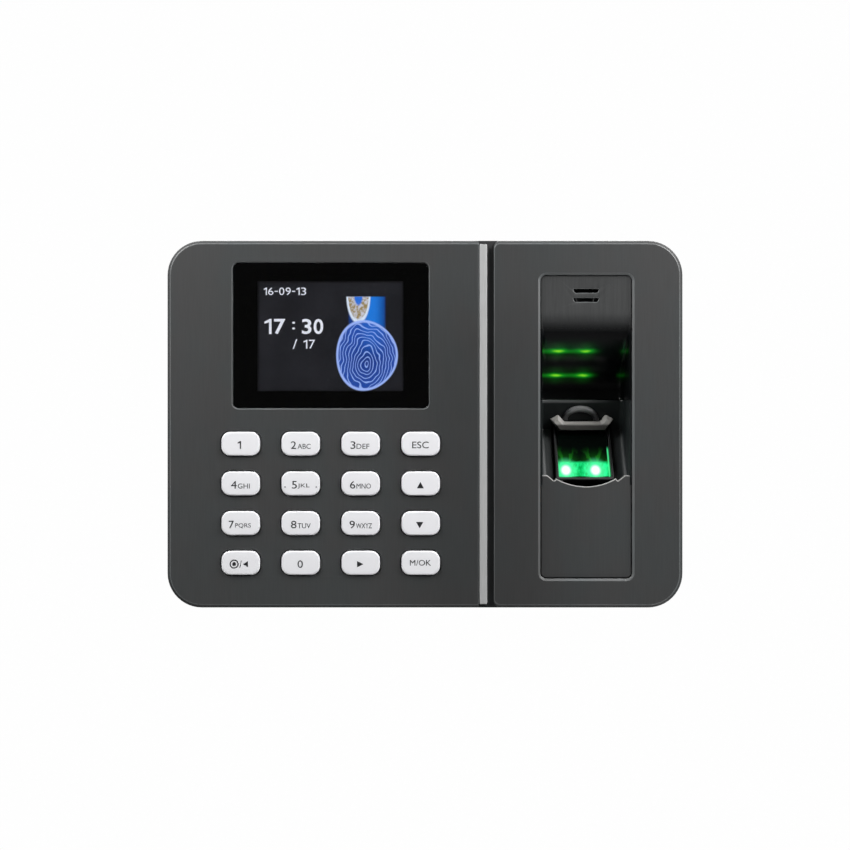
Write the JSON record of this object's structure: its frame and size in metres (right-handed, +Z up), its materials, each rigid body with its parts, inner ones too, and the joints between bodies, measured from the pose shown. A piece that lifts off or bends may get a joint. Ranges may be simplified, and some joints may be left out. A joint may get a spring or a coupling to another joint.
{
  "type": "fingerprint scanner terminal",
  "caption": "Wall-mounted terminal with a lit display, a key pad, a silver trim strip and a green-lit fingerprint well, on a hooked steel wall plate.",
  "frame": {"origin": "on the wall face of the wall plate, level with the middle of the housing", "axes": "+Z up, +Y into the wall, +X to the right for a person who faces the terminal; the front faces -Y"},
  "size_m": [0.19, 0.0369, 0.1352],
  "materials": {
    "body_grey": "dark grey satin, faint upright streaks",
    "rear_black": "fine matt texture",
    "trim_silver": "bright brushed along its length",
    "window_black": "polished",
    "screen_lit": "lit display",
    "frame_black": "matt",
    "key_white": "fine satin",
    "key_rubber": "matt",
    "board_green": "solder mask",
    "chip_black": "moulded",
    "well_gloss": "polished",
    "sensor_glass": "polished prism",
    "lamp_green": "lit green lamp",
    "jack_metal": "tinned",
    "screw_steel": "zinc plated",
    "galvanised_steel": "galvanised sheet",
    "ribbon_amber": "film"
  },
  "bodies": {
    "wall_mount": {"wall_plate": "galvanised_steel", "lock_screw": "screw_steel"},
    "terminal": {"front_shell": "body_grey", "rear_shell": "rear_black", "trim_strip": "trim_silver", "display_window": "window_black", "lcd_panel": "screen_lit", "lcd_frame": "frame_black", "keypad_mat": "key_rubber", "keypad_board": "board_green", "well_liner": "well_gloss", "lower_cover": "body_grey", "speaker": "frame_black", "sensor_hood": "well_gloss", "sensor_body": "frame_black", "sensor_prism": "sensor_glass", "led_board": "board_green", "green_led_left": "lamp_green", "green_led_right": "lamp_green", "lens_barrel": "frame_black", "camera_board": "board_green", "main_board": "board_green", "processor": "chip_black", "memory_chip": "chip_black", "clock_battery": "screw_steel", "ethernet_jack": "jack_metal", "power_jack": "frame_black", "usb_socket": "jack_metal", "reset_switch": "chip_black", "tamper_switch": "chip_black", "lcd_ribbon": "ribbon_amber", "keypad_ribbon": "ribbon_amber", "sensor_ribbon": "ribbon_amber", "case_screw_1": "screw_steel", "case_screw_2": "screw_steel", "case_screw_3": "screw_steel", "case_screw_4": "screw_steel", "board_screw_1": "screw_steel", "board_screw_2": "screw_steel"},
    "key_1": {"key_1": "key_white"},
    "key_2": {"key_2": "key_white"},
    "key_3": {"key_3": "key_white"},
    "key_esc": {"key_esc": "key_white"},
    "key_4": {"key_4": "key_white"},
    "key_5": {"key_5": "key_white"},
    "key_6": {"key_6": "key_white"},
    "key_up": {"key_up": "key_white"},
    "key_7": {"key_7": "key_white"},
    "key_8": {"key_8": "key_white"},
    "key_9": {"key_9": "key_white"},
    "key_down": {"key_down": "key_white"},
    "key_power_left": {"key_power_left": "key_white"},
    "key_0": {"key_0": "key_white"},
    "key_right": {"key_right": "key_white"},
    "key_menu_ok": {"key_menu_ok": "key_white"},
    "tamper_plunger": {"tamper_plunger": "key_white"},
    "reset_button": {"reset_button": "key_white"}
  },
  "joints": [
    {"name": "terminal_lift", "type": "slide", "parent": "wall_mount", "child": "terminal", "axis": [0, 0, 1], "range_m": [0, 0.006]},
    {"name": "key_1_press", "type": "slide", "parent": "terminal", "child": "key_1", "axis": [0, 1, 0], "range_m": [0, 0.0012], "stiffness_N_per_m": 800},
    {"name": "key_2_press", "type": "slide", "parent": "terminal", "child": "key_2", "axis": [0, 1, 0], "range_m": [0, 0.0012], "stiffness_N_per_m": 800},
    {"name": "key_3_press", "type": "slide", "parent": "terminal", "child": "key_3", "axis": [0, 1, 0], "range_m": [0, 0.0012], "stiffness_N_per_m": 800},
    {"name": "key_esc_press", "type": "slide", "parent": "terminal", "child": "key_esc", "axis": [0, 1, 0], "range_m": [0, 0.0012], "stiffness_N_per_m": 800},
    {"name": "key_4_press", "type": "slide", "parent": "terminal", "child": "key_4", "axis": [0, 1, 0], "range_m": [0, 0.0012], "stiffness_N_per_m": 800},
    {"name": "key_5_press", "type": "slide", "parent": "terminal", "child": "key_5", "axis": [0, 1, 0], "range_m": [0, 0.0012], "stiffness_N_per_m": 800},
    {"name": "key_6_press", "type": "slide", "parent": "terminal", "child": "key_6", "axis": [0, 1, 0], "range_m": [0, 0.0012], "stiffness_N_per_m": 800},
    {"name": "key_up_press", "type": "slide", "parent": "terminal", "child": "key_up", "axis": [0, 1, 0], "range_m": [0, 0.0012], "stiffness_N_per_m": 800},
    {"name": "key_7_press", "type": "slide", "parent": "terminal", "child": "key_7", "axis": [0, 1, 0], "range_m": [0, 0.0012], "stiffness_N_per_m": 800},
    {"name": "key_8_press", "type": "slide", "parent": "terminal", "child": "key_8", "axis": [0, 1, 0], "range_m": [0, 0.0012], "stiffness_N_per_m": 800},
    {"name": "key_9_press", "type": "slide", "parent": "terminal", "child": "key_9", "axis": [0, 1, 0], "range_m": [0, 0.0012], "stiffness_N_per_m": 800},
    {"name": "key_down_press", "type": "slide", "parent": "terminal", "child": "key_down", "axis": [0, 1, 0], "range_m": [0, 0.0012], "stiffness_N_per_m": 800},
    {"name": "key_power_left_press", "type": "slide", "parent": "terminal", "child": "key_power_left", "axis": [0, 1, 0], "range_m": [0, 0.0012], "stiffness_N_per_m": 800},
    {"name": "key_0_press", "type": "slide", "parent": "terminal", "child": "key_0", "axis": [0, 1, 0], "range_m": [0, 0.0012], "stiffness_N_per_m": 800},
    {"name": "key_right_press", "type": "slide", "parent": "terminal", "child": "key_right", "axis": [0, 1, 0], "range_m": [0, 0.0012], "stiffness_N_per_m": 800},
    {"name": "key_menu_ok_press", "type": "slide", "parent": "terminal", "child": "key_menu_ok", "axis": [0, 1, 0], "range_m": [0, 0.0012], "stiffness_N_per_m": 800},
    {"name": "tamper_release", "type": "slide", "parent": "terminal", "child": "tamper_plunger", "axis": [0, 1, 0], "range_m": [0, 0.0015], "stiffness_N_per_m": 200},
    {"name": "reset_press", "type": "slide", "parent": "terminal", "child": "reset_button", "axis": [0, 0, 1], "range_m": [0, 0.0005], "stiffness_N_per_m": 600}
  ]
}
